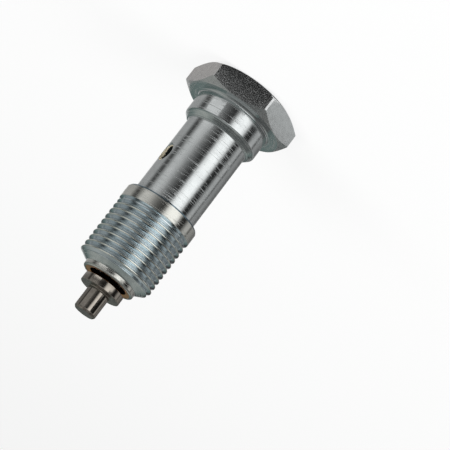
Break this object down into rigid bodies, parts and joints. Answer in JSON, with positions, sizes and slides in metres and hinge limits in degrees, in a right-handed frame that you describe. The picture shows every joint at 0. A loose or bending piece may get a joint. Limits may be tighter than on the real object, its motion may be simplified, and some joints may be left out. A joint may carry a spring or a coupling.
{
  "type": "banjo bolt",
  "caption": "Hollow banjo bolt with a hexagon head, a cross-drilled shank, a G 3/8 thread and a sprung plunger valve in its tip.",
  "frame": {"origin": "centre of the head's outer face, on which the bolt stands", "axes": "+Z along the bolt's axis from the head to the tip, +X along the cross drilling and normal to one pair of wrench flats"},
  "size_m": [0.022, 0.0252, 0.0561],
  "materials": {
    "zinc_plated_steel": "bright zinc plate with fine turning marks",
    "brass": "turned",
    "black_rubber": "matt",
    "ground_steel": "turned and ground, unplated",
    "spring_steel": "drawn wire"
  },
  "bodies": {
    "bolt": {"bolt_body": "zinc_plated_steel", "retaining_ring": "brass", "seal_ring": "black_rubber", "return_spring": "spring_steel"},
    "plunger": {"plunger": "ground_steel"}
  },
  "joints": [
    {"name": "plunger_slide", "type": "slide", "parent": "bolt", "child": "plunger", "axis": [0, 0, 1], "range_m": [-0.00095, 0], "stiffness_N_per_m": 2850, "deforming": ["return_spring"]}
  ]
}
